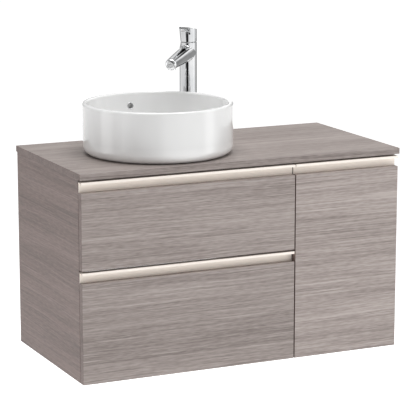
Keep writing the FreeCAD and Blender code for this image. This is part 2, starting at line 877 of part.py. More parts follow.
spout = spout_cone("Spout", "spout_root", "spout_tip", "spout_reach")
spout_way = spout_cone("SpoutWay", 9, 8, "spout_reach - 12")
chamber = rod("Chamber", 18, 40, 0, 0, 228)
inlets = [rod(f"Inlet{x}", 4.5, 20, x, 0, 2) for x in (-7, 7)]
aerator_y = "(-(spout_reach - 16) * cos(spout_drop))"
aerator_z = "(spout_level - (spout_reach - 16) * sin(spout_drop))"
aerator_radius = 10.5
aerator_low = f"({aerator_z} - 16.5)"
aerator_room = rod("AeratorRoom", aerator_radius + 0.05, 17, 0, aerator_y, f"{aerator_z} - 20")
column_voids = group("ColumnVoids", [column_hollow, spout_way, chamber] + inlets)
node(aim(cut("Mixer", column, column_voids)), "mixer_body")
braze_gap = 0.05
saddle = rod("Saddle", f"mixer_radius + {braze_gap}", 120, 0, 0, 180)
spout_voids = group("SpoutVoids", [saddle, spout_way, aerator_room])
spout_cut = cut("SpoutHollowed", spout, spout_voids)
node(aim(spout_cut), "mixer_spout")
aerator_case = turned("AeratorCase", [(9, 0), (aerator_radius, 0), (aerator_radius, 13), (9, 13)])
link(aerator_case, "Placement.Base.y", aerator_y)
link(aerator_case, "Placement.Base.z", f"{aerator_low}")
node(aim(group("AeratorCaseGroup", [aerator_case])), "aerator_housing")
aerator_core = turned("AeratorCore", [(0, 1), (9, 1), (9, 11), (0, 11)])
link(aerator_core, "Placement.Base.y", aerator_y)
link(aerator_core, "Placement.Base.z", f"{aerator_low}")
node(aim(group("AeratorCoreGroup", [aerator_core])), "aerator_insert")
node(aim(turned("BaseRing", [(16.6, 0), (27, 0), (27, 1.6), (25.5, 3), (16.6, 3)])), "mixer_base_ring")
node(aim(turned("Shank", [(13, -72), (16.4, -72), (16.4, 3), (13, 3)])), "mixer_shank")
node(aim(turned("ClampWasher", [(16.6, -19), (29, -19), (29, -16), (16.6, -16)])), "mixer_washer")
node(aim(turned("ClampNut", [(16.4, -31), (23, -31), (23, -19), (16.4, -19)])), "mixer_nut")
node(aim(turned("Cartridge", [
    (0, 228),
    (17.4, 228),
    (17.4, "seam_level - 8"),
    (12, "seam_level - 8"),
    (12, "seam_level - 3"),
    (9, "seam_level - 3"),
    (9, "seam_level - 12"),
    (0, "seam_level - 12"),
])), "cartridge")
node(aim(turned("CartridgeNut", [
    (12.3, "seam_level - 8"),
    (17.9, "seam_level - 8"),
    (17.9, "seam_level - 1"),
    (12.3, "seam_level - 1"),
])), "cartridge_nut")
node(aim(turned("Spindle", [
    (0, "seam_level - 11.6"),
    (8.9, "seam_level - 11.6"),
    (8.9, "seam_level - 7"),
    (0, "seam_level - 7"),
])), "cartridge_spindle")

# Handle: a hollow cap with a sloping top that runs out into a visor over the spout

handle_blank = rod("HandleBlank", "mixer_radius", 60, 0, 0, "seam_level")
top_slope = "tan(handle_tilt)"
tip_top = f"(seam_level + handle_top + visor_reach * {top_slope})"
back_top = f"(seam_level + handle_top - (mixer_radius + 5) * {top_slope})"
side_shape = drawn("HandleSide", "YZ_Plane", [
    ("mixer_radius + 5", "seam_level"),
    ("mixer_radius + 5", back_top),
    ("-visor_reach", tip_top),
    ("-visor_reach", f"{tip_top} - 6"),
    ("-mixer_radius - 6", f"{tip_top} - 10"),
    ("-mixer_radius + 1.5", f"{tip_top} - 17"),
    ("-mixer_radius + 3.5", "seam_level"),
], 80, -40)
visor_plan = fuse("VisorPlan", [
    handle_blank,
    box(
        "VisorBlock",
        ("-visor_width / 2", "visor_width / 2"),
        ("-visor_reach", 0),
        ("seam_level + 20", "seam_level + 60"),
    ),
])
handle_solid = doc.addObject("Part::MultiCommon", "HandleSolid")
handle_solid.Shapes = [visor_plan, side_shape]
handle_room = turned(
    "HandleRoom",
    [
        (0, "seam_level - 1"),
        (19.5, "seam_level - 1"),
        (19.5, "seam_level + 14"),
        (8, "seam_level + 24"),
        (0, "seam_level + 24"),
    ],
)
handle_shell = cut("HandleShell", handle_solid, handle_room)
post = fuse("HandlePosts", [
    rod("HandlePost", 6, 32, 0, 0, "seam_level + 0.5"),
    rod("HandlePin", 3, 8, 0, 0, "seam_level - 6"),
])
post_cut = doc.addObject("Part::MultiCommon", "PostInside")
post_cut.Shapes = [post, box("PostLimit", (-10, 10), (-10, 10), ("seam_level - 10", "seam_level + 27"))]
screw_way = rod("ScrewWay", 2.5, 15, 0, 12, "seam_level + 6", "y")
handle_whole = fuse("HandleWhole", [handle_shell, post_cut])
node(aim(cut("Handle", handle_whole, screw_way)), "mixer_handle")
grub = rod("Grub", 2.5, 15, 0, 6.2, "seam_level + 6", "y")
node(aim(group("GrubGroup", [grub])), "handle_screw")

doc.recompute()

# Checks, then one file for each sub-part

for thing in doc.Objects:
    if "Invalid" in thing.State or "Error" in thing.State:
        raise RuntimeError(f"{thing.Name} ({thing.Label}) did not recompute: {thing.State}")
os.makedirs("parts", exist_ok=True)
for thing in parts:
    shape = thing.Shape
    if shape.isNull() or not shape.isValid() or not shape.Solids:
        raise RuntimeError(f"{thing.Label} has no valid shape")
    shape.exportStep(f"parts/{thing.Label}.step")
print(len(parts), "sub-parts written")
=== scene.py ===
import json
import math
import bpy
import bmesh
from mathutils import Matrix, Vector


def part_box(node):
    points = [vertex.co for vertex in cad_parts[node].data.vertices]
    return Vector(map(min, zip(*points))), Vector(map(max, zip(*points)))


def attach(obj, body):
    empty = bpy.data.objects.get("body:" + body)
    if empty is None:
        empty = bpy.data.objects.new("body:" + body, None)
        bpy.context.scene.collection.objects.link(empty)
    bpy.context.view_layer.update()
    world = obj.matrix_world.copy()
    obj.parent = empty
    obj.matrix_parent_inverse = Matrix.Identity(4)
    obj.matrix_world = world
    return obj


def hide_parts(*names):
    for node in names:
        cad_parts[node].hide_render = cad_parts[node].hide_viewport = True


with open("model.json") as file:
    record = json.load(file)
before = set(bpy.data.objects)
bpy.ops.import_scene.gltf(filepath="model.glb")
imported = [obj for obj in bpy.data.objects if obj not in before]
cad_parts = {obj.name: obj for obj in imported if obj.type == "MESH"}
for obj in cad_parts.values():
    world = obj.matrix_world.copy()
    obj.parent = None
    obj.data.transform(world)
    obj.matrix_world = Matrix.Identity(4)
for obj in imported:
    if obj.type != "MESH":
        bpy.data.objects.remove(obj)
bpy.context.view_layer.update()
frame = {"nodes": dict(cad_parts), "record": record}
print("frame loaded:", len(frame["nodes"]), "nodes")


# Materials. Every pattern reads Object coordinates, in metres.

def startMaterial(name):
    material = bpy.data.materials.new(name)
    material.use_nodes = True
    nodes = material.node_tree.nodes
    links = material.node_tree.links
    shader = nodes["Principled BSDF"]
    where = nodes.new("ShaderNodeTexCoord").outputs["Object"]
    return material, nodes, links, shader, where


def stretched(nodes, links, where, scale, shift=(0, 0, 0)):
    mapping = nodes.new("ShaderNodeMapping")
    mapping.inputs["Location"].default_value = shift
    mapping.inputs["Scale"].default_value = scale
    links.new(where, mapping.inputs["Vector"])
    return mapping.outputs["Vector"]


def noiseNode(nodes, links, vector, detail):
    texture = nodes.new("ShaderNodeTexNoise")
    texture.inputs["Scale"].default_value = 1.0
    texture.inputs["Detail"].default_value = detail
    links.new(vector, texture.inputs["Vector"])
    return texture


def noise(nodes, links, vector, detail):
    return noiseNode(nodes, links, vector, detail).outputs["Fac"]


def ramp(nodes, links, value, stops):
    node = nodes.new("ShaderNodeValToRGB")
    links.new(value, node.inputs["Fac"])
    band = node.color_ramp
    while len(band.elements) < len(stops):
        band.elements.new(0.5)
    for element, (position, colour) in zip(band.elements, stops):
        element.position = position
        element.color = (*colour, 1)
    return node.outputs["Color"]


def maths(nodes, links, kind, first, second=None, third=None):
    node = nodes.new("ShaderNodeMath")
    node.operation = kind
    for socket, value in zip(node.inputs, (first, second, third)):
        if value is None:
            continue
        if isinstance(value, (int, float)):
            socket.default_value = value
        else:
            links.new(value, socket)
    return node.outputs["Value"]


def vectorMaths(nodes, links, kind, first, second):
    node = nodes.new("ShaderNodeVectorMath")
    node.operation = kind
    for socket, value in zip(node.inputs, (first, second)):
        if isinstance(value, tuple):
            socket.default_value = value
        else:
            links.new(value, socket)
    return node.outputs[0]


def blendColours(nodes, links, factor, first, second, kind="MIX"):
    node = nodes.new("ShaderNodeMix")
    node.data_type = "RGBA"
    node.blend_type = kind
    for socket, value in ((node.inputs[0], factor), (node.inputs[6], first), (node.inputs[7], second)):
        if isinstance(value, (int, float)):
            socket.default_value = value
        elif isinstance(value, tuple):
            socket.default_value = (*value, 1)
        else:
            links.new(value, socket)
    return node.outputs[2]


def tinted(nodes, links, shader, value, stops):
    links.new(ramp(nodes, links, value, stops), shader.inputs["Base Color"])


def roughened(nodes, links, shader, value, spread, least):
    links.new(maths(nodes, links, "MULTIPLY_ADD", value, spread, least), shader.inputs["Roughness"])


def relief(nodes, links, shader, height, depth, strength):
    bump = nodes.new("ShaderNodeBump")
    bump.inputs["Distance"].default_value = depth
    bump.inputs["Strength"].default_value = strength
    links.new(height, bump.inputs["Height"])
    links.new(bump.outputs["Normal"], shader.inputs["Normal"])


def axisPart(nodes, links, vector, axis):
    apart = nodes.new("ShaderNodeSeparateXYZ")
    links.new(vector, apart.inputs[0])
    return apart.outputs[axis]


def endward(nodes, links):
    # Nought on the faces seen from the front, top or back, one on those at the left and right ends.
    facing = nodes.new("ShaderNodeTexCoord").outputs["Normal"]
    sideways = maths(nodes, links, "ABSOLUTE", axisPart(nodes, links, facing, "X"))
    return ramp(nodes, links, sideways, [(0.6, (0, 0, 0)), (0.8, (1, 1, 1))])


laminateLook = {
    "dark": (0.225, 0.188, 0.174),
    "middle": (0.335, 0.287, 0.268),
    "light": (0.435, 0.38, 0.357),
    "levels": (0.37, 0.5, 0.63),   # where dark, middle and light are reached
    "poreColour": (0.58, 0.52, 0.49),
    "poreLevels": (0.58, 0.74),
    "poreDepth": 0.00012,
    "seamColour": (0.17, 0.138, 0.126),
    "seamLevels": (0.6, 0.78),
    "seamShift": (3, 1, 7),
    "markStrength": 0.5,           # how strongly pores and seams show at most
    "roughness": 0.5,
    "sheen": 0.16,                 # spread of the roughness over the streaks
    "specular": 0.35,
    "relief": 0.5,
    "waviness": 0.016,             # metres that the figure wanders
    # painted shade on the end faces of the panels whose grain runs along x
    "paintedEndShade": (0.58, 0.5, 0.485),
    # Pattern scales along the grain and across it, then a layer's share of the tone.
    "drift": (2.6, 7),
    "pores": (3.4, 400),
    "seams": (1.7, 170),
    "broad": (0.8, 13, 0.22),
    "bands": (1.1, 70, 0.22),
    "streaks": (2.4, 260, 0.28),
    "grit": (45, 420, 0.28),
}


def laminate(name, grain, shift, paintedShade):
    # Grain is 0 where it runs along x and 1 where it runs along y.
    look = laminateLook
    material, nodes, links, shader, where = startMaterial(name)

    def along(long, cross):
        return (long, cross, cross) if grain == 0 else (cross, long, cross)

    # Painted shade: every colour of the panel is scaled by the panel's brightness.
    def inPaintedShade(colour):
        return tuple(level * part for level, part in zip(paintedShade, colour))

    def pattern(kind, base, offset=(0, 0, 0)):
        return noise(nodes, links, stretched(nodes, links, base, along(*look[kind][:2]), offset), detail=1)

    def marks(value, levels):
        return ramp(nodes, links, value, [(levels[0], (0, 0, 0)), (levels[1], (look["markStrength"],) * 3)])

    moved = stretched(nodes, links, where, (1, 1, 1), shift)
    drift = noiseNode(nodes, links, stretched(nodes, links, moved, along(*look["drift"])), detail=2)
    centred = vectorMaths(nodes, links, "SUBTRACT", drift.outputs["Color"], (0.5, 0.5, 0.5))
    sway = vectorMaths(nodes, links, "MULTIPLY", centred, (look["waviness"],) * 3)
    flow = vectorMaths(nodes, links, "ADD", moved, sway)
    streaks = pattern("streaks", flow)
    layers = {
        "broad": pattern("broad", flow),
        "bands": pattern("bands", flow),
        "streaks": streaks,
        "grit": pattern("grit", where),
    }
    mixed = 0.0
    for kind, layer in layers.items():
        mixed = maths(nodes, links, "MULTIPLY_ADD", layer, look[kind][2], mixed)
    tones = [inPaintedShade(look[key]) for key in ("dark", "middle", "light")]
    colour = ramp(nodes, links, mixed, list(zip(look["levels"], tones)))
    limed = marks(pattern("pores", flow), look["poreLevels"])
    colour = blendColours(nodes, links, limed, colour, inPaintedShade(look["poreColour"]))
    inked = marks(pattern("seams", flow, look["seamShift"]), look["seamLevels"])
    colour = blendColours(nodes, links, inked, colour, inPaintedShade(look["seamColour"]))
    # Painted shade: the left and right end faces are darkened, like the shaded left side panel.
    if grain == 0:
        endShadedColour = blendColours(nodes, links, 1.0, colour, look["paintedEndShade"], "MULTIPLY")
        colour = blendColours(nodes, links, endward(nodes, links), colour, endShadedColour)
    links.new(colour, shader.inputs["Base Color"])
    roughened(nodes, links, shader, streaks, look["sheen"], look["roughness"] - look["sheen"] / 2)
    shader.inputs["Specular IOR Level"].default_value = look["specular"]
    raised = maths(nodes, links, "SUBTRACT", streaks, limed)
    relief(nodes, links, shader, raised, look["poreDepth"], look["relief"])
    return material


boardWeave = {"thread": 900, "threadLength": 14, "cloud": 7, "clothShare": 0.7, "depth": 0.00008, "relief": 0.5}
boardLooks = {
    "carcass": {"base": (0.36, 0.325, 0.305), "speck": (0.43, 0.395, 0.372), "roughness": 0.55},
    "drawer": {"base": (0.42, 0.40, 0.385), "speck": (0.5, 0.48, 0.462), "roughness": 0.5},
}


def melamineBoard(name, look):
    # A fine woven emboss, as pressed into the paper face of a board.
    material, nodes, links, shader, where = startMaterial(name)
    fine, coarse = boardWeave["thread"], boardWeave["thread"] / boardWeave["threadLength"]
    warp = noise(nodes, links, stretched(nodes, links, where, (fine, coarse, coarse)), detail=2)
    weft = noise(nodes, links, stretched(nodes, links, where, (coarse, coarse, fine)), detail=2)
    cloth = maths(nodes, links, "MAXIMUM", warp, weft)
    cloud = noise(nodes, links, stretched(nodes, links, where, (boardWeave["cloud"],) * 3), detail=3)
    woven = maths(nodes, links, "MULTIPLY", cloth, boardWeave["clothShare"])
    level = maths(nodes, links, "MULTIPLY_ADD", cloud, 0.3, woven)
    tinted(nodes, links, shader, level, [(0.4, look["base"]), (0.62, look["speck"])])
    shader.inputs["Roughness"].default_value = look["roughness"]
    relief(nodes, links, shader, cloth, boardWeave["depth"], boardWeave["relief"])
    return material


profileLook = {
    "low": (0.89, 0.81, 0.74),
    "high": (0.97, 0.9, 0.825),
    # painted shadow on the profile's end faces
    "paintedEndShadow": (0.2, 0.165, 0.15),
    "roughness": 0.5,
    "metallic": 0.08,
    "lineDepth": 0.00003,
}


def satinProfile(name):
    # Anodised aluminium with the fine lines that drawing leaves along its length.
    look = profileLook
    material, nodes, links, shader, where = startMaterial(name)
    lines = noise(nodes, links, stretched(nodes, links, where, (5, 2600, 2600)), detail=2)
    cloud = noise(nodes, links, stretched(nodes, links, where, (3, 30, 30)), detail=2)
    level = maths(nodes, links, "MULTIPLY_ADD", lines, 0.6, maths(nodes, links, "MULTIPLY", cloud, 0.4))
    face = ramp(nodes, links, level, [(0.35, look["low"]), (0.65, look["high"])])
    # Painted shadow: the end faces take a dark colour.
    colour = blendColours(nodes, links, endward(nodes, links), face, look["paintedEndShadow"])
    links.new(colour, shader.inputs["Base Color"])
    roughened(nodes, links, shader, lines, 0.2, look["roughness"] - 0.1)
    shader.inputs["Metallic"].default_value = look["metallic"]
    relief(nodes, links, shader, lines, look["lineDepth"], 0.4)
    return material


glazeLook = {
    "thin": (0.75, 0.75, 0.746),
    "full": (0.78, 0.78, 0.778),
    "paintedFootLight": (0.97, 0.965, 0.96),   # painted light, low on the outside, towards the foot
    "footLightHeights": (0.08, 0.12),         # heights below which the painted light is full and above which it is gone
    "heightScale": 5,                # brings those heights within a ramp's nought to one
    "roughness": 0.1,
    "coat": 0.5,
    "coatRoughness": 0.03,
    "wave": 0.0005,
}


def whiteGlaze(name):
    look = glazeLook
    material, nodes, links, shader, where = startMaterial(name)
    pool = noise(nodes, links, stretched(nodes, links, where, (9, 9, 6)), detail=2)
    coat = ramp(nodes, links, pool, [(0.35, look["thin"]), (0.65, look["full"])])
    # Painted light: low down, towards the foot, the colour is lifted towards white.
    level = maths(nodes, links, "MULTIPLY", axisPart(nodes, links, where, "Z"), look["heightScale"])
    footLightFull, footLightGone = (height * look["heightScale"] for height in look["footLightHeights"])
    foot = ramp(nodes, links, level, [(footLightFull, (1, 1, 1)), (footLightGone, (0, 0, 0))])
    links.new(blendColours(nodes, links, foot, coat, look["paintedFootLight"]), shader.inputs["Base Color"])
    speckle = noise(nodes, links, stretched(nodes, links, where, (420, 420, 420)), detail=1)
    roughened(nodes, links, shader, speckle, 0.05, look["roughness"] - 0.025)
    shader.inputs["Coat Weight"].default_value = look["coat"]
    shader.inputs["Coat Roughness"].default_value = look["coatRoughness"]
    relief(nodes, links, shader, pool, look["wave"], 0.35)
    return material


chromeLook = {"deep": (0.62, 0.63, 0.64), "bright": (0.72, 0.725, 0.73), "roughness": 0.05}


def brightChrome(name):
    look = chromeLook
    material, nodes, links, shader, where = startMaterial(name)
    film = noise(nodes, links, stretched(nodes, links, where, (30, 30, 22)), detail=4)
    wipes = noise(nodes, links, stretched(nodes, links, where, (260, 260, 35)), detail=2)
    tinted(nodes, links, shader, film, [(0.35, look["deep"]), (0.65, look["bright"])])
    roughened(nodes, links, shader, wipes, 0.05, look["roughness"] - 0.02)
    shader.inputs["Metallic"].default_value = 1.0
    return material


steelLook = {
    "deep": (0.44, 0.45, 0.46),
    "bright": (0.62, 0.63, 0.64),
    "roughness": 0.36,
    "spangle": 170,
    "lineDepth": 0.00003,
}


def zincSteel(name):
    # Zinc plate: soft spangles, with rolling lines along the drawer's travel.
    look = steelLook
    material, nodes, links, shader, where = startMaterial(name)
    cells = nodes.new("ShaderNodeTexVoronoi")
    cells.inputs["Scale"].default_value = look["spangle"]
    links.new(where, cells.inputs["Vector"])
    rolled = noise(nodes, links, stretched(nodes, links, where, (1500, 8, 1500)), detail=2)
    spangled = maths(nodes, links, "MULTIPLY", cells.outputs["Distance"], 0.5)
    level = maths(nodes, links, "MULTIPLY_ADD", rolled, 0.6, spangled)
    tinted(nodes, links, shader, level, [(0.3, look["deep"]), (0.68, look["bright"])])
    roughened(nodes, links, shader, rolled, 0.22, look["roughness"] - 0.11)
    shader.inputs["Metallic"].default_value = 1.0
    relief(nodes, links, shader, rolled, look["lineDepth"], 0.3)
    return material


brassLook = {"dull": (0.55, 0.38, 0.17), "bright": (0.78, 0.59, 0.3), "roughness": 0.16, "ringDepth": 0.00004}


def turnedBrass(name):
    look = brassLook
    material, nodes, links, shader, where = startMaterial(name)
    rings = noise(nodes, links, stretched(nodes, links, where, (12, 12, 2200)), detail=2)
    tarnish = noise(nodes, links, stretched(nodes, links, where, (60, 60, 60)), detail=4)
    tinted(nodes, links, shader, tarnish, [(0.35, look["dull"]), (0.62, look["bright"])])
    roughened(nodes, links, shader, rings, 0.25, look["roughness"])
    shader.inputs["Metallic"].default_value = 1.0
    relief(nodes, links, shader, rings, look["ringDepth"], 0.4)
    return material


plasticLook = {"low": (0.72, 0.72, 0.705), "high": (0.79, 0.79, 0.78), "roughness": 0.28, "grainDepth": 0.00004}


def mouldedPlastic(name):
    look = plasticLook
    material, nodes, links, shader, where = startMaterial(name)
    grain = noise(nodes, links, stretched(nodes, links, where, (1400, 1400, 1400)), detail=2)
    cloud = noise(nodes, links, stretched(nodes, links, where, (22, 22, 14)), detail=3)
    tinted(nodes, links, shader, cloud, [(0.35, look["low"]), (0.65, look["high"])])
    roughened(nodes, links, shader, grain, 0.2, look["roughness"])
    relief(nodes, links, shader, grain, look["grainDepth"], 0.35)
    return material


rubberLook = {"black": (0.02, 0.02, 0.02), "dusty": (0.055, 0.053, 0.05), "roughness": 0.6, "dustDepth": 0.0001}


def softRubber(name):
    look = rubberLook
    material, nodes, links, shader, where = startMaterial(name)
    dust = noise(nodes, links, stretched(nodes, links, where, (500, 500, 500)), detail=3)
    tinted(nodes, links, shader, dust, [(0.4, look["black"]), (0.7, look["dusty"])])
    roughened(nodes, links, shader, dust, 0.25, look["roughness"])
    relief(nodes, links, shader, dust, look["dustDepth"], 0.4)
    return material


beechLook = {"dark": (0.42, 0.26, 0.14), "light": (0.62, 0.44, 0.27), "roughness": 0.6, "rayDepth": 0.0001}


def beechWood(name):
    look = beechLook
    material, nodes, links, shader, where = startMaterial(name)
    rays = noise(nodes, links, stretched(nodes, links, where, (60, 600, 600)), detail=3)
    tinted(nodes, links, shader, rays, [(0.35, look["dark"]), (0.65, look["light"])])
    shader.inputs["Roughness"].default_value = look["roughness"]
    relief(nodes, links, shader, rays, look["rayDepth"], 0.4)
    return material


finish = {
    "carcass_board": melamineBoard("melamineTaupe", boardLooks["carcass"]),
    "drawer_board": melamineBoard("melamineGrey", boardLooks["drawer"]),
    "champagne_profile": satinProfile("champagneAnodised"),
    "ceramic": whiteGlaze("whiteGlaze"),
    "chrome": brightChrome("chromePlate"),
    "steel": zincSteel("zincPlate"),
    "brass": turnedBrass("turnedBrass"),
    "white_plastic": mouldedPlastic("whitePlastic"),
    "seal_rubber": softRubber("blackRubber"),
    "beech": beechWood("beechDowel"),
}
# Grain direction, shift of the figure, and painted shade of each laminated panel: a brightness per panel, set
# from how light falls on it, lowest on the left side panel, which stands in shade.
woodPanels = {
    "countertop": (0, (0.31, 0.12, 0.52), (0.85, 0.85, 0.85)),
    "upper_front": (0, (1.7, 0.4, 0.93), (0.91, 0.91, 0.91)),
    "lower_front": (0, (4.1, 0.9, 2.17), (0.89, 0.89, 0.89)),
    "door_panel": (0, (7.3, 1.6, 3.31), (1.0, 1.0, 1.0)),
    "side_panel_left": (1, (2.3, 5.2, 4.4), (0.535, 0.455, 0.44)),
    "side_panel_right": (1, (5.3, 8.2, 6.1), (0.9, 0.86, 0.85)),
}
slotOf = {part["node"]: part["material_slot"] for part in frame["record"]["subparts"]}
for nodeName, (grainAxis, patternShift, panelPaintedShade) in woodPanels.items():
    panelFinish = laminate("laminate_" + nodeName, grainAxis, patternShift, panelPaintedShade)
    for place in frame["nodes"][nodeName].material_slots:
        place.material = panelFinish
for nodeName, nodeObject in frame["nodes"].items():
    if nodeName not in woodPanels:
        for place in nodeObject.material_slots:
            place.material = finish[slotOf[nodeName]]
print("materials made:", len(finish) + len(woodPanels))


# Mesh helpers

def addObject(name, mesh, material, body, replaced=()):
    piece = bpy.data.objects.new(name, mesh)
    bpy.context.collection.objects.link(piece)
    mesh.materials.clear()
    mesh.materials.append(material)
    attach(piece, body)
    if replaced:
        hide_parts(*replaced)


def smoothAll(mesh):
    mesh.polygons.foreach_set("use_smooth", [True] * len(mesh.polygons))


def turnedMesh(name, profile, steps, matrix):
    # Profile is (radius, height) round local z; a radius of nought closes the pole.
    mesh = bmesh.new()
    rings = []
    for radius, height in profile:
        if radius < 1e-7:
            rings.append([mesh.verts.new((0, 0, height))])
            continue
        ring = []
        for step in range(steps):
            angle = 2 * math.pi * step / steps
            ring.append(mesh.verts.new((radius * math.cos(angle), radius * math.sin(angle), height)))
        rings.append(ring)
    pairs = list(zip(rings, rings[1:]))
    if len(rings[0]) > 1 and len(rings[-1]) > 1:
        pairs.append((rings[-1], rings[0]))
    for lower, upper in pairs:
        for step in range(steps):
            after = (step + 1) % steps
            corners = [lower[step % len(lower)], lower[after % len(lower)]]
            corners += [upper[after % len(upper)], upper[step % len(upper)]]
            distinct = list(dict.fromkeys(corners))
            if len(distinct) > 2:
                mesh.faces.new(distinct)
    bmesh.ops.recalc_face_normals(mesh, faces=mesh.faces)
    mesh.transform(matrix)
    data = bpy.data.meshes.new(name)
    mesh.to_mesh(data)
    mesh.free()
    smoothAll(data)
    return data


def middleOf(node):
    low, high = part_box(node)
    return (low + high) / 2


# Mixer: column and spout blended in one casting, and the lever cap above it

mixerSizes = {
    "spoutHeight": 0.2302,   # spout's axis above the countertop
    "spoutReach": 0.156,
    "spoutDrop": 5.85,       # degrees
    "spoutRoot": 0.0226,
    "spoutTip": 0.0150,
    "tipRound": 0.0065,
    "columnEdge": 0.0006,
    "outletRadius": 0.0109,
    "outletBelow": 0.01,     # the outlet's cutter, below and above the foot of the aerator's housing
    "outletAbove": 0.0125,
    "voxel": 0.00095,
    "softening": 11,
    "lean": 0.12,
    "leanWay": (-0.906, 0.423, 0),
    "leanFrom": 0.017,       # levels under the column's top
    "leanFull": 0.004,
}
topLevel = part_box("countertop")[1].z
mixerAxis = middleOf("mixer_base_ring")
basinAxis = middleOf("basin")
spoutAim = Vector((basinAxis.x - mixerAxis.x, basinAxis.y - mixerAxis.y, 0)).normalized()


def blockMesh(name, corners, width, matrix):
    # A side outline in local y and z, drawn out across local x.
    mesh = bmesh.new()
    rows = [[mesh.verts.new((side * width / 2, y, z)) for y, z in corners] for side in (-1, 1)]
    mesh.faces.new(rows[0])
    mesh.faces.new(list(reversed(rows[1])))
    for step in range(len(corners)):
        after = (step + 1) % len(corners)
        mesh.faces.new([rows[0][step], rows[1][step], rows[1][after], rows[0][after]])
    bmesh.ops.recalc_face_normals(mesh, faces=mesh.faces)
    mesh.transform(matrix)
    data = bpy.data.meshes.new(name)
    mesh.to_mesh(data)
    mesh.free()
    return data


def carved(name, first, steps, voxel, softening):
    # Boolean steps on a first blank, then one eased skin over the whole.
    blanks = [bpy.data.objects.new(mesh.name, mesh) for mesh in [first] + [step[0] for step in steps]]
    for blank in blanks:
        bpy.context.collection.objects.link(blank)
    for other, (mesh, kind) in zip(blanks[1:], steps):
        stage = blanks[0].modifiers.new(other.name, "BOOLEAN")
        stage.operation = kind
        stage.solver = "EXACT"
        stage.object = other
    skin = blanks[0].modifiers.new("skin", "REMESH")
    skin.mode = "VOXEL"
    skin.voxel_size = voxel
    ease = blanks[0].modifiers.new("ease", "SMOOTH")
    ease.factor = 0.5
    ease.iterations = softening
    bpy.context.view_layer.update()
    result = bpy.data.meshes.new_from_object(blanks[0].evaluated_get(bpy.context.evaluated_depsgraph_get()))
    result.name = name
    for blank in blanks:
        bpy.data.objects.remove(blank)
    smoothAll(result)
    return result


def leanedIn(mesh, clear, full):
    # Draws in the side away from the door, fading from nothing at one level to all of it at the other.
    outward = Vector(mixerSizes["leanWay"])
    for vertex in mesh.vertices:
        part = min(1, max(0, (vertex.co.z - clear) / (full - clear)))
        side = (vertex.co - mixerAxis).dot(outward)
        if side > 0:
            vertex.co -= outward * side * mixerSizes["lean"] * part


def bodyMesh():
    sizes = mixerSizes
    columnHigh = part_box("mixer_body")[1]
    radius = columnHigh.x - mixerAxis.x
    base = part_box("mixer_base_ring")[1].z
    edge = sizes["columnEdge"]
    column = turnedMesh("columnBlank", [
        (0, base), (radius - edge, base), (radius, base + edge),
        (radius, columnHigh.z - edge), (radius - edge, columnHigh.z), (0, columnHigh.z),
    ], 160, Matrix.Translation((mixerAxis.x, mixerAxis.y, 0)))
    profile = [(0, 0)]
    cut = sizes["spoutReach"] - sizes["tipRound"]
    taper = sizes["spoutTip"] - sizes["spoutRoot"]
    lengthSteps, tipSteps = 24, 8
    for step in range(lengthSteps + 1):
        run = cut * step / lengthSteps
        profile.append((sizes["spoutRoot"] + taper * run / sizes["spoutReach"], run))
    for step in range(1, tipSteps + 1):
        angle = math.pi / 2 * step / tipSteps
        shrink = sizes["tipRound"] * (1 - math.cos(angle))
        profile.append((sizes["spoutTip"] - shrink, cut + sizes["tipRound"] * math.sin(angle)))
    profile.append((0, sizes["spoutReach"]))
    fall = math.radians(sizes["spoutDrop"])
    direction = Vector((spoutAim.x * math.cos(fall), spoutAim.y * math.cos(fall), -math.sin(fall)))
    root = Vector((mixerAxis.x, mixerAxis.y, topLevel + sizes["spoutHeight"]))
    turn = direction.to_track_quat("Z", "Y").to_matrix().to_4x4()
    spout = turnedMesh("spoutBlank", profile, 128, Matrix.Translation(root) @ turn)
    outlet = middleOf("aerator_housing")
    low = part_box("aerator_housing")[0].z
    foot, head = low - sizes["outletBelow"], low + sizes["outletAbove"]
    hole = turnedMesh("outletBlank", [
        (0, foot), (sizes["outletRadius"], foot), (sizes["outletRadius"], head), (0, head),
    ], 96, Matrix.Translation((outlet.x, outlet.y, 0)))
    steps = [(spout, "UNION"), (hole, "DIFFERENCE")]
    mesh = carved("mixerBodyMesh", column, steps, sizes["voxel"], sizes["softening"])
    leanedIn(mesh, columnHigh.z - sizes["leanFrom"], columnHigh.z - sizes["leanFull"])
    return mesh


addObject("mixerBody", bodyMesh(), finish["chrome"], "cabinet", ["mixer_body", "mixer_spout"])
leverSizes = {
    "tilt": 12.2,            # slope of the cap's top, degrees
    "seam": 0.0008,          # gap over the column
    "spare": 0.02,           # how far the blanks stand over the finished top
    "visorReach": 0.038,
    "visorWidth": 0.027,
    "visorDepth": 0.022,
    "tipThickness": 0.006,
    "scoopRadius": 0.0165,
    "scoopBack": 0.0005,
    "skirtInset": 0.0006,    # cutter that clears what is left of the visor under the scoop
    "skirtAhead": 0.01,
    "skirtDrop": 0.04,
    "lidBack": 0.05,         # cutter that slopes the top
    "lidAhead": 0.06,
    "lidWidth": 0.12,
    "wall": 0.0038,
    "room": 0.014,           # hollow under the cap, with a cone over it
    "roomBelow": 0.004,
    "roomNeck": 0.008,
    "roomCone": 0.01,
    "postRadius": 0.006,
    "postFoot": 0.0005,
    "postTop": 0.026,
    "leanFrom": 0.03,        # the lean is full at the seam and gone this far above it
    "voxel": 0.0006,
    "softening": 9,
}


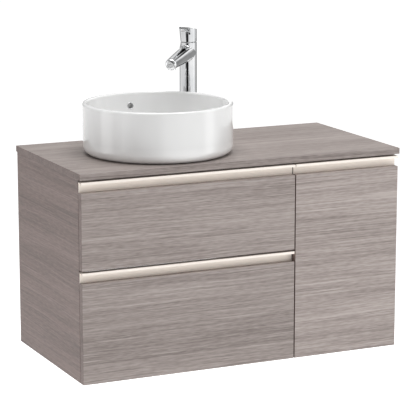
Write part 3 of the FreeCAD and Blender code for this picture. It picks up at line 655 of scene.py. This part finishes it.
def leverMesh():
    sizes = leverSizes
    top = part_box("mixer_handle")[1].z
    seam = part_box("mixer_body")[1].z + sizes["seam"]
    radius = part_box("mixer_body")[1].x - mixerAxis.x
    slope = math.tan(math.radians(sizes["tilt"]))
    middleTop = top - sizes["visorReach"] * slope
    turn = Matrix.Rotation(math.atan2(spoutAim.y, spoutAim.x) + math.pi / 2, 4, "Z")
    place = Matrix.Translation((mixerAxis.x, mixerAxis.y, 0)) @ turn
    # Local -y looks down the spout.
    tip = -sizes["visorReach"]
    over, below = top + sizes["spare"], top - sizes["visorDepth"]
    visorSide = [(0, over), (tip, over), (tip, below), (0, below)]
    visor = blockMesh("visorBlank", visorSide, sizes["visorWidth"], place)
    cap = turnedMesh("capBlank", [(0, seam), (radius, seam), (radius, over), (0, over)], 160, place)
    under = top - sizes["tipThickness"] - sizes["scoopRadius"]
    across = Matrix.Rotation(math.pi / 2, 4, "Y")
    scoopPlace = place @ Matrix.Translation((0, tip + sizes["scoopBack"], under)) @ across
    reach = sizes["visorWidth"]
    scoopRound = sizes["scoopRadius"]
    scoopSide = [(0, -reach), (scoopRound, -reach), (scoopRound, reach), (0, reach)]
    scoop = turnedMesh("scoopBlank", scoopSide, 96, scoopPlace)
    inner, outer = -radius + sizes["skirtInset"], tip - sizes["skirtAhead"]
    floorLevel = under - sizes["skirtDrop"]
    skirtSide = [(inner, under), (outer, under), (outer, floorLevel), (inner, floorLevel)]
    skirt = blockMesh("skirtBlank", skirtSide, 2 * reach, place)
    back, ahead = sizes["lidBack"], sizes["lidAhead"]
    lid = blockMesh("lidBlank", [
        (back, middleTop - back * slope), (-ahead, middleTop + ahead * slope),
        (-ahead, top + ahead), (back, top + ahead),
    ], sizes["lidWidth"], place)
    inside = radius - sizes["wall"]
    roomFoot, roomTop = seam - sizes["roomBelow"], seam + sizes["room"]
    room = turnedMesh("roomBlank", [
        (0, roomFoot), (inside, roomFoot), (inside, roomTop),
        (sizes["roomNeck"], roomTop + sizes["roomCone"]), (0, roomTop + sizes["roomCone"]),
    ], 96, place)
    postFoot, postTop = seam + sizes["postFoot"], seam + sizes["postTop"]
    postSide = [(0, postFoot), (sizes["postRadius"], postFoot), (sizes["postRadius"], postTop), (0, postTop)]
    post = turnedMesh("postBlank", postSide, 64, place)
    steps = [
        (scoop, "DIFFERENCE"), (skirt, "DIFFERENCE"), (cap, "UNION"),
        (lid, "DIFFERENCE"), (room, "DIFFERENCE"), (post, "UNION"),
    ]
    mesh = carved("mixerLeverMesh", visor, steps, sizes["voxel"], sizes["softening"])
    leanedIn(mesh, seam + sizes["leanFrom"], seam)
    return mesh


addObject("mixerLever", leverMesh(), finish["chrome"], "lever", ["mixer_handle"])
print("mixer made")

# Overflow ring, turned with a rounded lip

ringSizes = {"lip": 0.0009, "wall": 0.002, "crest": 0.0014}
ringLow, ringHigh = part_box("overflow_ring")
ringRadius = (ringHigh.x - ringLow.x) / 2
lip = ringSizes["lip"]
ringDepth = ringHigh.y - ringLow.y
ringProfile = [
    (ringRadius - ringSizes["wall"], 0), (ringRadius, 0), (ringRadius, ringDepth - lip),
    (ringRadius - 0.3 * lip, ringDepth - 0.3 * lip), (ringRadius - lip, ringDepth),
    (ringRadius - ringSizes["crest"], ringDepth - 0.2 * lip), (ringRadius - ringSizes["wall"], ringDepth - lip),
]
ringPlace = Matrix.Translation(((ringLow.x + ringHigh.x) / 2, ringHigh.y, (ringLow.z + ringHigh.z) / 2))
ringMesh = turnedMesh("overflowRingMesh", ringProfile, 64, ringPlace @ Matrix.Rotation(math.pi / 2, 4, "X"))
addObject("overflowRing", ringMesh, finish["chrome"], "cabinet", ["overflow_ring"])
print("overflow ring made")


# Geometry Nodes: rows of screws, and the grid of the aerator

def nodeTree(name, inputs):
    tree = bpy.data.node_groups.new(name, "GeometryNodeTree")
    tree.interface.new_socket("Geometry", in_out="INPUT", socket_type="NodeSocketGeometry")
    for label, kind in inputs:
        tree.interface.new_socket(label, in_out="INPUT", socket_type="NodeSocket" + kind)
    tree.interface.new_socket("Geometry", in_out="OUTPUT", socket_type="NodeSocketGeometry")
    return tree, tree.nodes.new("NodeGroupInput").outputs, tree.nodes.new("NodeGroupOutput").inputs


def finishTree(tree, given, result, geometry):
    solid = tree.nodes.new("GeometryNodeRealizeInstances")
    painted = tree.nodes.new("GeometryNodeSetMaterial")
    tree.links.new(geometry, solid.inputs[0])
    tree.links.new(solid.outputs[0], painted.inputs["Geometry"])
    tree.links.new(given["Material"], painted.inputs["Material"])
    tree.links.new(painted.outputs[0], result["Geometry"])


def grow(name, tree, values, body):
    holder = bpy.data.objects.new(name + "Holder", bpy.data.meshes.new(name + "Seed"))
    bpy.context.collection.objects.link(holder)
    modifier = holder.modifiers.new("grow", "NODES")
    modifier.node_group = tree
    for item in tree.interface.items_tree:
        if item.item_type == "SOCKET" and item.in_out == "INPUT" and item.name in values:
            modifier[item.identifier] = values[item.name]
    bpy.context.view_layer.update()
    mesh = bpy.data.meshes.new_from_object(holder.evaluated_get(bpy.context.evaluated_depsgraph_get()))
    mesh.name = name + "Mesh"
    bpy.data.objects.remove(holder)
    addObject(name, mesh, values["Material"], body)


def screwHead():
    # A pan head of unit radius with a cross recess, standing on z = 0.
    steps, quarter = 24, 6
    narrow, shoulder = 0.3, 0.42
    mesh = bmesh.new()
    rings = []
    for radius, height, crossed in [
        (1, 0, False), (1, 0.22, False), (0.9, 0.5, False), (0.66, 0.68, False),
        (0.58, 0.7, True), (0.5, 0.3, True), (0, 0.24, False),
    ]:
        if radius == 0:
            rings.append([mesh.verts.new((0, 0, height))])
            continue
        ring = []
        for step in range(steps):
            angle = 2 * math.pi * step / steps
            reach = radius * (1 if step % quarter == 0 or not crossed else narrow)
            if crossed and step % quarter in (1, quarter - 1):
                reach = radius * shoulder
            ring.append(mesh.verts.new((reach * math.cos(angle), reach * math.sin(angle), height)))
        rings.append(ring)
    mesh.faces.new(list(reversed(rings[0])))
    for lower, upper in zip(rings, rings[1:]):
        for step in range(steps):
            after = (step + 1) % steps
            corners = [lower[step], lower[after], upper[after % len(upper)], upper[step % len(upper)]]
            mesh.faces.new(list(dict.fromkeys(corners)))
    bmesh.ops.recalc_face_normals(mesh, faces=mesh.faces)
    data = bpy.data.meshes.new("screwHeadMesh")
    mesh.to_mesh(data)
    mesh.free()
    head = bpy.data.objects.new("screwHead", data)
    bpy.context.collection.objects.link(head)
    return head


def screwTree():
    tree, given, result = nodeTree("screwRow", [
        ("Start", "Vector"), ("Step", "Vector"), ("Count", "Int"), ("Facing", "Vector"),
        ("Head Radius", "Float"), ("Head", "Object"), ("Material", "Material"),
    ])
    line = tree.nodes.new("GeometryNodeMeshLine")
    line.mode = "OFFSET"
    tree.links.new(given["Count"], line.inputs["Count"])
    tree.links.new(given["Start"], line.inputs["Start Location"])
    tree.links.new(given["Step"], line.inputs["Offset"])
    shape = tree.nodes.new("GeometryNodeObjectInfo")
    tree.links.new(given["Head"], shape.inputs["Object"])
    facing = tree.nodes.new("FunctionNodeEulerToRotation")
    tree.links.new(given["Facing"], facing.inputs[0])
    spread = tree.nodes.new("GeometryNodeInstanceOnPoints")
    tree.links.new(line.outputs["Mesh"], spread.inputs["Points"])
    tree.links.new(shape.outputs["Geometry"], spread.inputs["Instance"])
    tree.links.new(facing.outputs[0], spread.inputs["Rotation"])
    tree.links.new(given["Head Radius"], spread.inputs["Scale"])
    finishTree(tree, given, result, spread.outputs["Instances"])
    return tree


screwSizes = {
    "plateScrew": 0.0034,      # head radii
    "cupScrew": 0.0032,
    "adjuster": 0.0036,
    "plateReach": 0.016,       # half the distance between two screws
    "cupReach": 0.024,
    "armInset": 0.024,         # hinge's middle from the end of the row of arms
    "plateDepth": 0.003,
    "plateSetback": 0.0365,    # behind the side panel's front edge
    "cupMiddle": 0.0195,
    "cupProud": 0.001,
    "hangerInset": 0.015,
    "hangerProud": 0.003,
    "hangerLift": 0.032,
}


def screwPair(name, start, step, facing, radius, body, slotName):
    grow(name, screwRow, {
        "Start": start,
        "Step": step,
        "Count": 2,
        "Facing": facing,
        "Head Radius": screwSizes[radius],
        "Head": headShape,
        "Material": finish[slotName],
    }, body)


headShape = screwHead()
screwRow = screwTree()
armLow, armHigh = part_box("hinge_arms")
plateFace = armHigh.x - screwSizes["plateDepth"]
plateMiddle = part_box("side_panel_right")[0].y + screwSizes["plateSetback"]
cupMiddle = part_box("hinge_cups")[0].x + screwSizes["cupMiddle"]
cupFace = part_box("door_panel")[1].y + screwSizes["cupProud"]
plateReach, cupReach = screwSizes["plateReach"], screwSizes["cupReach"]
hingeLevels = {"Low": armLow.z + screwSizes["armInset"], "High": armHigh.z - screwSizes["armInset"]}
for label, level in hingeLevels.items():
    screwPair("hingePlateScrews" + label, (plateFace, plateMiddle, level - plateReach), (0, 0, 2 * plateReach),
              (0, -math.pi / 2, 0), "plateScrew", "cabinet", "steel")
    screwPair("hingeCupScrews" + label, (cupMiddle, cupFace, level - cupReach), (0, 0, 2 * cupReach),
              (-math.pi / 2, 0, 0), "cupScrew", "door", "steel")
hangerLow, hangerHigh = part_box("hanger_brackets")
hangerInset = screwSizes["hangerInset"]
hangerFace = hangerLow.y + screwSizes["hangerProud"]
hangerStart = (hangerLow.x + hangerInset, hangerFace, hangerLow.z + screwSizes["hangerLift"])
hangerStep = (hangerHigh.x - hangerLow.x - 2 * hangerInset, 0, 0)
screwPair("hangerAdjusters", hangerStart, hangerStep, (math.pi / 2, 0, 0), "adjuster", "cabinet", "brass")
bpy.data.objects.remove(headShape)
print("screws made")


def aeratorTree():
    tree, given, result = nodeTree("aeratorGrid", [
        ("Centre", "Vector"), ("Across", "Float"), ("Rows", "Int"), ("Disc Radius", "Float"),
        ("Bar Radius", "Float"), ("Bar Height", "Float"), ("Material", "Material"),
    ])
    grid = tree.nodes.new("GeometryNodeMeshGrid")
    for side in ("Size X", "Size Y"):
        tree.links.new(given["Across"], grid.inputs[side])
    for count in ("Vertices X", "Vertices Y"):
        tree.links.new(given["Rows"], grid.inputs[count])
    place = tree.nodes.new("GeometryNodeInputPosition")
    reach = tree.nodes.new("ShaderNodeVectorMath")
    reach.operation = "LENGTH"
    tree.links.new(place.outputs[0], reach.inputs[0])
    outside = tree.nodes.new("FunctionNodeCompare")
    outside.operation = "GREATER_THAN"
    tree.links.new(reach.outputs["Value"], outside.inputs[0])
    tree.links.new(given["Disc Radius"], outside.inputs[1])
    trimmed = tree.nodes.new("GeometryNodeDeleteGeometry")
    tree.links.new(grid.outputs["Mesh"], trimmed.inputs["Geometry"])
    tree.links.new(outside.outputs[0], trimmed.inputs["Selection"])
    bar = tree.nodes.new("GeometryNodeMeshCylinder")
    bar.inputs["Vertices"].default_value = 6
    tree.links.new(given["Bar Radius"], bar.inputs["Radius"])
    tree.links.new(given["Bar Height"], bar.inputs["Depth"])
    spread = tree.nodes.new("GeometryNodeInstanceOnPoints")
    tree.links.new(trimmed.outputs[0], spread.inputs["Points"])
    tree.links.new(bar.outputs["Mesh"], spread.inputs["Instance"])
    put = tree.nodes.new("GeometryNodeTransform")
    tree.links.new(spread.outputs["Instances"], put.inputs["Geometry"])
    tree.links.new(given["Centre"], put.inputs["Translation"])
    finishTree(tree, given, result, put.outputs[0])
    return tree


aeratorSizes = {
    "drop": 0.0002,
    "across": 0.0168,
    "rows": 11,
    "discRadius": 0.0082,
    "barRadius": 0.0006,
    "barHeight": 0.0008,
}
insertMiddle = middleOf("aerator_insert")
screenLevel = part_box("aerator_insert")[0].z - aeratorSizes["drop"]
grow("aeratorScreen", aeratorTree(), {
    "Centre": (insertMiddle.x, insertMiddle.y, screenLevel),
    "Across": aeratorSizes["across"],
    "Rows": aeratorSizes["rows"],
    "Disc Radius": aeratorSizes["discRadius"],
    "Bar Radius": aeratorSizes["barRadius"],
    "Bar Height": aeratorSizes["barHeight"],
    "Material": finish["white_plastic"],
}, "cabinet")
print("aerator made")

# Camera, floor and light

sceneSetup = {
    "cameraPlace": (-2.1858, -4.9044, 0.9815),
    "cameraTurn": (78.366, 0.0, -25.041),
    "lens": 173.4,
    "floorSize": 90,
    "floorLevel": -0.85,
    "floorColour": (0.93, 0.93, 0.93, 1),
    "floorGlow": 0.62,
    "world": 0.46,
    "lightTarget": (0, -0.23, 0),
    "cardFade": 0.45,     # part of a card's half width that stays full
    "basinLift": 0.07,    # points that the cards face
    "spoutRun": 0.08,
    "spoutLevel": 0.305,
    "mixerLevel": 0.285,
}


def aimed(thing, azimuth, elevation, distance, target):
    # Azimuth runs from the front towards the right, in degrees.
    turn, rise = math.radians(azimuth), math.radians(elevation)
    away = Vector((math.sin(turn) * math.cos(rise), -math.cos(turn) * math.cos(rise), math.sin(rise)))
    thing.location = Vector(target) + away * distance
    thing.rotation_euler = away.to_track_quat("Z", "Y").to_euler()


def softbox(name, azimuth, elevation, distance, width, height, power):
    light = bpy.data.lights.new(name, "AREA")
    light.shape = "RECTANGLE"
    light.size = width
    light.size_y = height
    light.energy = power
    lamp = bpy.data.objects.new(name, light)
    bpy.context.collection.objects.link(lamp)
    aimed(lamp, azimuth, elevation, distance, sceneSetup["lightTarget"])


def reflectedCard(name, azimuth, elevation, distance, width, height, level, target):
    # A card that only reflections see, with soft sides, for the tones down the chrome and the glaze.
    mesh = bpy.data.meshes.new(name)
    across, up = width / 2, height / 2
    corners = [(-across, -up, 0), (across, -up, 0), (across, up, 0), (-across, up, 0)]
    mesh.from_pydata(corners, [], [(0, 1, 2, 3)])
    card = bpy.data.objects.new(name, mesh)
    bpy.context.collection.objects.link(card)
    aimed(card, azimuth, elevation, distance, target)
    paint, nodes, links, shader, where = startMaterial(name + "Paint")
    nodes.remove(shader)
    glow = nodes.new("ShaderNodeEmission")
    glow.inputs["Strength"].default_value = level
    clear = nodes.new("ShaderNodeBsdfTransparent")
    offset = maths(nodes, links, "DIVIDE", axisPart(nodes, links, where, "X"), across)
    side = maths(nodes, links, "ABSOLUTE", offset)
    fade = ramp(nodes, links, side, [(sceneSetup["cardFade"], (1, 1, 1)), (1.0, (0, 0, 0))])
    mixed = nodes.new("ShaderNodeMixShader")
    links.new(fade, mixed.inputs[0])
    links.new(clear.outputs[0], mixed.inputs[1])
    links.new(glow.outputs[0], mixed.inputs[2])
    links.new(mixed.outputs[0], nodes["Material Output"].inputs["Surface"])
    mesh.materials.append(paint)
    card.visible_camera = False
    card.visible_diffuse = False
    card.visible_shadow = False
    card.visible_transmission = False


bpy.ops.mesh.primitive_plane_add(size=sceneSetup["floorSize"], location=(0, 0, sceneSetup["floorLevel"]))
floor = bpy.context.object
floor.name = "paleFloor"
floorPaint = bpy.data.materials.new("paleFloorPaint")
floorPaint.use_nodes = True
floorShader = floorPaint.node_tree.nodes["Principled BSDF"]
floorShader.inputs["Base Color"].default_value = sceneSetup["floorColour"]
floorShader.inputs["Roughness"].default_value = 0.9
floorShader.inputs["Specular IOR Level"].default_value = 0.1
floorShader.inputs["Emission Color"].default_value = (1, 1, 1, 1)
floorShader.inputs["Emission Strength"].default_value = sceneSetup["floorGlow"]
floor.data.materials.append(floorPaint)

world = bpy.data.worlds.new("studio")
bpy.context.scene.world = world
world.use_nodes = True
world.node_tree.nodes["Background"].inputs["Color"].default_value = (1, 1, 1, 1)
world.node_tree.nodes["Background"].inputs["Strength"].default_value = sceneSetup["world"]

softbox("rightSoftbox", 64, 28, 3.2, 1.4, 2.4, 17)
softbox("topPanel", -10, 84, 3.0, 2.6, 2.2, 84)


def atMixer(level):
    return (mixerAxis.x, mixerAxis.y, level)


spoutRun = sceneSetup["spoutRun"]
spoutX, spoutY = mixerAxis.x + spoutRun * spoutAim.x, mixerAxis.y + spoutRun * spoutAim.y
spoutMiddle = (spoutX, spoutY, sceneSetup["spoutLevel"])
mixerMiddle = atMixer(sceneSetup["mixerLevel"])
atBasin = (basinAxis.x, basinAxis.y, topLevel + sceneSetup["basinLift"])
# Azimuth, elevation, distance, width, height and level of each card, and the point that it faces.
cardTable = {
    "basinFlag": (-40, -6, 2.2, 2.6, 3.4, 0.15, atBasin),
    "basinLeftStrip": (-104, -4, 1.8, 0.9, 2.4, 2.2, atBasin),
    "basinMiddleStrip": (-74, -4, 1.8, 0.12, 2.4, 1.5, atBasin),
    "basinRightStrip": (58, -4, 1.9, 0.8, 2.4, 2.2, atBasin),
    "columnFlag": (-33.5, 0, 0.05, 0.024, 0.14, 0.0, atMixer(0.22)),
    "handleFlag": (-35, 0, 0.05, 0.022, 0.034, 0.0, atMixer(0.341)),
    "lipFlag": (-58, 0, 0.08, 0.05, 0.024, 0.2, atMixer(0.37)),
    "mixerLeftCard": (-98, 0, 0.12, 0.22, 0.22, 0.95, mixerMiddle),
    "mixerRightCard": (25, 0, 0.12, 0.18, 0.22, 1.2, mixerMiddle),
    "mixerEdgeCard": (112, 0, 0.12, 0.2, 0.15, 0.36, atMixer(0.258)),
    "mixerRearCard": (-165, 0, 0.12, 0.14, 0.2, 0.45, mixerMiddle),
    "spoutShade": (116, -6, 0.42, 0.34, 0.24, 0.28, spoutMiddle),
    "spoutLight": (110, 21, 0.4, 0.2, 0.06, 1.2, spoutMiddle),
    "spoutGlow": (109, 13.5, 0.41, 0.24, 0.055, 0.62, spoutMiddle),
    "spoutLine": (119, 30, 0.35, 0.08, 0.045, 0.04, spoutMiddle),
    "spoutTop": (146, 31, 0.41, 0.36, 0.12, 0.95, spoutMiddle),
    "spoutRim": (164, 12, 0.4, 0.14, 0.16, 0.9, spoutMiddle),
}
for cardName, cardValues in cardTable.items():
    reflectedCard(cardName, *cardValues)

cameraData = bpy.data.cameras.new("studioCamera")
cameraData.lens = sceneSetup["lens"]
cameraData.sensor_width = 36
camera = bpy.data.objects.new("studioCamera", cameraData)
bpy.context.collection.objects.link(camera)
camera.location = sceneSetup["cameraPlace"]
camera.rotation_euler = [math.radians(angle) for angle in sceneSetup["cameraTurn"]]
bpy.context.scene.camera = camera
bpy.context.scene.view_settings.view_transform = "Standard"
bpy.context.scene.view_settings.look = "None"
print("stage set")
